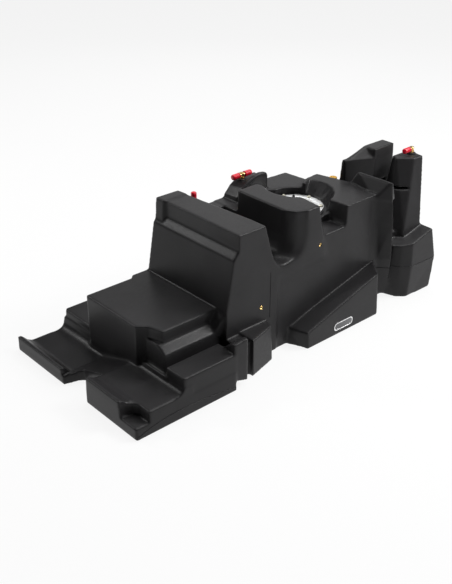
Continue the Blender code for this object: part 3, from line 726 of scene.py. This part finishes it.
def sender_top():
    """Moulded flange with raised ribs and the collars of its two tubes."""
    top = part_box("sender_flange")[1].z
    hub = upright_spot("sender_flange", top)
    profile = [(0, 0), (73.2, 0), (74, -0.6), (74, -3.6), (73.4, -4), (0, -4)]
    plate = lathe("ribbed_sender_flange", profile, hub, UP, "nylon", 96)
    for index in range(6):
        angle = math.tau * (index + 0.5) / 6
        rib = slab("rib", Vector((28, -1.1, -1)) * MM, Vector((57, 1.1, 3.2)) * MM)
        rib.data.transform(Matrix.Translation(hub) @ Matrix.Rotation(angle, 4, "Z"))
        boolean(plate, rib, "UNION")
    for node, wide in (("pickup_tube", 5.3), ("return_tube", 4.3)):
        spot = upright_spot(node, top)
        profile = [(0, 2.6), (wide + 2.4, 2.6), (wide + 4, 0.6), (wide + 4, -1), (0, -1)]
        boolean(plate, lathe("collar", profile, spot, UP, None, 32), "UNION")
        boolean(plate, prism("bore", wide, -9, 9, spot, UP, None, 32), "DIFFERENCE")
    show(plate, "tank", ["sender_flange"])


def plug_socket():
    """Plug of the sender with its open mouth and three pins."""
    low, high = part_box("sender_connector")
    body = soften(slab("sender_plug_housing", low, high, "nylon"), 1.2, 3)
    mid = (low + high) / 2
    mouth_low = Vector((mid.x - 9 * MM, mid.y - 5 * MM, low.z + 5 * MM))
    mouth_high = Vector((mid.x + 9 * MM, mid.y + 5 * MM, high.z + 5 * MM))
    boolean(body, slab("mouth", mouth_low, mouth_high), "DIFFERENCE")
    for shift in (-4.5, 0.0, 4.5):
        pin_low = Vector((mid.x + (shift - 0.5) * MM, mid.y - 1.4 * MM, low.z + 4 * MM))
        pin_high = Vector((mid.x + (shift + 0.5) * MM, mid.y + 1.4 * MM, high.z - 2 * MM))
        boolean(body, slab("pin", pin_low, pin_high), "UNION")
    show(body, "tank", ["sender_connector"])


def side_insert(name):
    """Brass insert moulded into the near wall: chamfered mouth, thread and ridged outside."""
    node = f"{name}_threaded_insert"
    low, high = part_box(node)
    length = (high.y - low.y) / MM
    profile = [(6, -0.4), (5.6, 0), (4.4, 0), (3.6, -0.9)]
    profile += thread(3.0, 3.35, -1.2, -length + 0.8, 0.9)
    profile += [(3.3, -length), (5.7, -length)]
    profile += thread(6.0, 5.6, -1.0, -length + 0.8, 0.8)[::-1]
    mouth = sideways_spot(node, low.y)
    piece = lathe(f"knurled_{name}_insert", profile, mouth, -AWAY, "brass", 48)
    show(piece, "tank", [node], 30.0)


def breather_cap():
    """Plain spigot under a shallow yellow push-on cap."""
    foot = upright_spot("breather_spigot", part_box("breather_spigot")[0].z + 12 * MM)
    profile = [(6, 24), (8.4, 24), (9, 23.2), (9, 3.6), (9.6, 3.3), (15.4, 3.3), (16, 2.7),
               (16, 0.3), (9, 0.3), (9, -12), (6, -12)]
    show(lathe("spigot_moulding", profile, foot, UP, "nylon", 48), "tank", ["breather_spigot"])
    profile = [(0, 27.5), (4, 27.5), (4.4, 27.9), (10.8, 28), (12.6, 27.5), (13.3, 26.2)]
    for index in range(3):
        top = 23 - index * 5
        profile += [(13.2, top), (13.6, top - 0.8), (13.6, top - 2.2), (13.2, top - 3)]
    profile += [(13.2, 7.4), (13.6, 6.8), (13.2, 6.05), (9.8, 6.05), (9.3, 6.6), (9.3, 24.3),
                (0, 24.3)]
    show(lathe("yellow_cap_vinyl", profile, foot, UP, "yellow", 56), "yellow_cap",
         ["breather_yellow_cap"], 60.0)


def filler():
    """Filler neck with its hose bead, and the ribbed transport cap."""
    foot = sideways_spot("filler_neck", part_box("filler_neck")[0].y + 12 * MM)
    profile = [(22, 52), (24.6, 52), (26, 49), (25.2, 46), (25, 44), (25.4, 30), (25.4, 6), (27, 4.3),
               (35, 4.3), (36, 3.4), (36, 0.3), (26, 0.3), (26, -12), (22, -12)]
    show(lathe("filler_neck_moulding", profile, foot, AWAY, "nylon", 72), "tank", ["filler_neck"])
    profile = [(0, 55.6), (20, 55.6), (21, 57), (30, 57), (31.6, 56.2), (32, 55), (31.4, 54),
               (31.4, 36), (32, 35.2), (32, 34), (26.4, 34), (26.4, 52.4), (0, 52.4)]
    cap = lathe("filler_cap_moulding", profile, foot, AWAY, "nylon", 96)
    for index in range(24):
        angle = math.tau * index / 24
        rib = slab("rib", Vector((30.6, -0.9, 37)) * MM, Vector((32, 0.9, 53.4)) * MM)
        rib.data.transform(Matrix.Translation(foot) @ aim(AWAY) @ Matrix.Rotation(angle, 4, "Z"))
        boolean(cap, rib, "UNION")
    show(cap, "filler_cap", ["filler_cap"])


def drain():
    """Brass bush in the far wall, its seal ring and the hexagonal plug."""
    face = sideways_spot("drain_bush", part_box("drain_bush")[1].y - 1 * MM)
    profile = [(6.6, 1), (9.6, 1), (10, 0.6)] + thread(10.0, 9.5, 0.2, -9, 1.2)
    profile += [(9.5, -10), (6.3, -10), (6.3, 0.6)]
    show(lathe("knurled_drain_bush", profile, face, AWAY, "brass", 48), "tank", ["drain_bush"])
    profile = [(6.6, 2.9), (7, 3.0), (10.6, 3.0), (11, 2.7), (11, 1.6), (10.6, 1.3), (7, 1.3),
               (6.6, 1.5)]
    show(lathe("drain_seal_ring", profile, face, AWAY, "rubber", 48), "tank", ["drain_washer"])
    plug = soften(prism("plated_drain_plug", 10.4, 4.6, 10.3, face, AWAY, "bolt"), 0.7)
    profile = [(0, 4.9), (10.2, 4.9), (10.5, 4.5), (10.5, 3.4), (0, 3.4)]
    collar = lathe("collar", profile, face, AWAY, None, 48)
    profile = [(0, 3.8)] + thread(6.0, 5.4, 3.7, -7, 1.2) + [(5.2, -8), (0, -8)]
    unite(plug, collar, lathe("shank", profile, face, AWAY, None, 32))
    show(plug, "drain_plug", ["drain_plug"])


def rounded_plate(name, inset, near, far, mat=None):
    """Upright plate with rounded ends, smaller than the blank plate by inset all round."""
    low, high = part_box("plain_label")
    mid = (low + high) / 2
    half_x = (high.x - low.x) / 2
    half_z = (high.z - low.z) / 2
    corner = min(half_z - inset, 11 * MM)
    ring = []
    for quarter in range(4):
        side_x = 1 if quarter in (0, 3) else -1
        side_z = 1 if quarter in (0, 1) else -1
        for step in range(9):
            angle = math.pi / 2 * (quarter + step / 8)
            x = mid.x + side_x * (half_x - inset - corner) + corner * math.cos(angle)
            z = mid.z + side_z * (half_z - inset - corner) + corner * math.sin(angle)
            ring.append((x, z))
    bm = bmesh.new()
    front = [bm.verts.new((x, near, z)) for x, z in ring]
    back = [bm.verts.new((x, far, z)) for x, z in ring]
    bm.faces.new(front)
    bm.faces.new(back)
    for i in range(len(ring)):
        j = (i + 1) % len(ring)
        bm.faces.new((front[i], front[j], back[j], back[i]))
    return from_bmesh(name, bm, mat)


def blank_label():
    """Bright plate with a raised rim around a darker panel; nothing is printed on it."""
    low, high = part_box("plain_label")
    base = rounded_plate("label_plate", 0.0, low.y + 0.3 * MM, high.y + 0.25 * MM, "label")
    soften(base, 0.25)
    boolean(base, rounded_plate("recess", 2.2 * MM, low.y - 1 * MM, low.y + 0.55 * MM), "DIFFERENCE")
    show(base, "tank", ["plain_label"], 30.0)
    near = low.y + 0.35 * MM
    panel = soften(rounded_plate("label_panel", 3.2 * MM, near, low.y + 0.75 * MM, "panel"), 0.15)
    smooth(panel, 30.0)
    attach(panel, "tank")


def finish_inner(node, mat, width):
    """A CAD piece kept as it is, with its material and a small edge radius."""
    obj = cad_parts[node]
    obj.data.materials.clear()
    obj.data.materials.append(MATERIALS[mat])
    mod = obj.modifiers.new("edge", "BEVEL")
    mod.width = width * MM
    mod.segments = 2
    mod.limit_method = "ANGLE"
    mod.angle_limit = math.radians(40)


def inner_pieces():
    """Pieces inside the tank that keep their CAD shape."""
    for node, mat, width in (("sender_seal", "rubber", 0.4), ("pickup_tube", "nylon", 0.2),
                             ("return_tube", "nylon", 0.2), ("pickup_strainer", "sock", 0.6),
                             ("level_bracket", "nylon", 0.8), ("float_arm", "wire", 0.2),
                             ("level_float", "foam", 1.2), ("front_vent_ball", "foam", 0.3),
                             ("mid_vent_ball", "foam", 0.3), ("rear_vent_ball", "foam", 0.3)):
        finish_inner(node, mat, width)


# ---------------------------------------------------------------- studio

def floor():
    bm = bmesh.new()
    bmesh.ops.create_grid(bm, x_segments=1, y_segments=1, size=FLOOR_SIZE)
    plane = from_bmesh("studio_floor", bm)
    plane.location = (0, 0, FLOOR_LEVEL)
    mat = bpy.data.materials.new("pale_studio_floor")
    mat.use_nodes = True
    shader = mat.node_tree.nodes["Principled BSDF"]
    shader.inputs["Base Color"].default_value = (FLOOR_TONE, FLOOR_TONE, FLOOR_TONE, 1.0)
    shader.inputs["Roughness"].default_value = 1.0
    shader.inputs["Specular IOR Level"].default_value = 0.0
    shader.inputs["Emission Color"].default_value = (1.0, 1.0, 1.0, 1.0)
    shader.inputs["Emission Strength"].default_value = FLOOR_GLOW
    plane.data.materials.append(mat)


def softbox(name, direction, size, energy):
    """Square light that faces the middle of the tank from a direction."""
    data = bpy.data.lights.new(name, "AREA")
    data.shape = "SQUARE"
    data.size = size
    data.energy = energy
    lamp = bpy.data.objects.new(name, data)
    bpy.context.scene.collection.objects.link(lamp)
    way = Vector(direction).normalized()
    lamp.location = way * SOFTBOX_DISTANCE + UP * SOFTBOX_HEIGHT
    lamp.rotation_mode = "QUATERNION"
    lamp.rotation_quaternion = way.to_track_quat("Z", "Y")


def sky():
    """Soft surroundings, bright above the near right side and dim at the front."""
    world = bpy.data.worlds.new("studio")
    bpy.context.scene.world = world
    world.use_nodes = True
    tree = world.node_tree
    background = tree.nodes["Background"]
    coords = tree.nodes.new("ShaderNodeTexCoord").outputs["Generated"]
    side = add_node(tree, "ShaderNodeVectorMath", {0: coords, 1: SKY_SIDE},
                    operation="DOT_PRODUCT")
    level = add_node(tree, "ShaderNodeMapRange", {"Value": side.outputs["Value"], "From Min": -0.3,
                                                  "From Max": 1.0, "To Min": 0.04, "To Max": 1.15})
    tree.links.new(level.outputs["Result"], background.inputs["Strength"])


def camera():
    data = bpy.data.cameras.new("main_view")
    data.lens = CAMERA_LENS
    data.sensor_width = 36.0
    data.clip_end = 100.0
    eye = bpy.data.objects.new("main_view", data)
    bpy.context.scene.collection.objects.link(eye)
    eye.location = CAMERA_SPOT
    eye.rotation_euler = (math.radians(90 - CAMERA_PITCH), 0, math.radians(CAMERA_YAW - 90))
    bpy.context.scene.camera = eye


def studio():
    bpy.context.scene.view_settings.view_transform = "Standard"
    floor()
    sky()
    for name, direction, size, energy in SOFTBOXES:
        softbox(name, direction, size, energy)
    camera()


# ---------------------------------------------------------------- assembly

studio()
parting_lines(moulded_shell())
clamp_ring()
sender_top()
plug_socket()
for vent_name, vent_kind, vent_ways in VENTS:
    valve_body(vent_name)
    vent(vent_name, vent_kind, vent_ways)
breather_cap()
filler()
drain()
side_insert("front")
side_insert("rear")
blank_label()
inner_pieces()
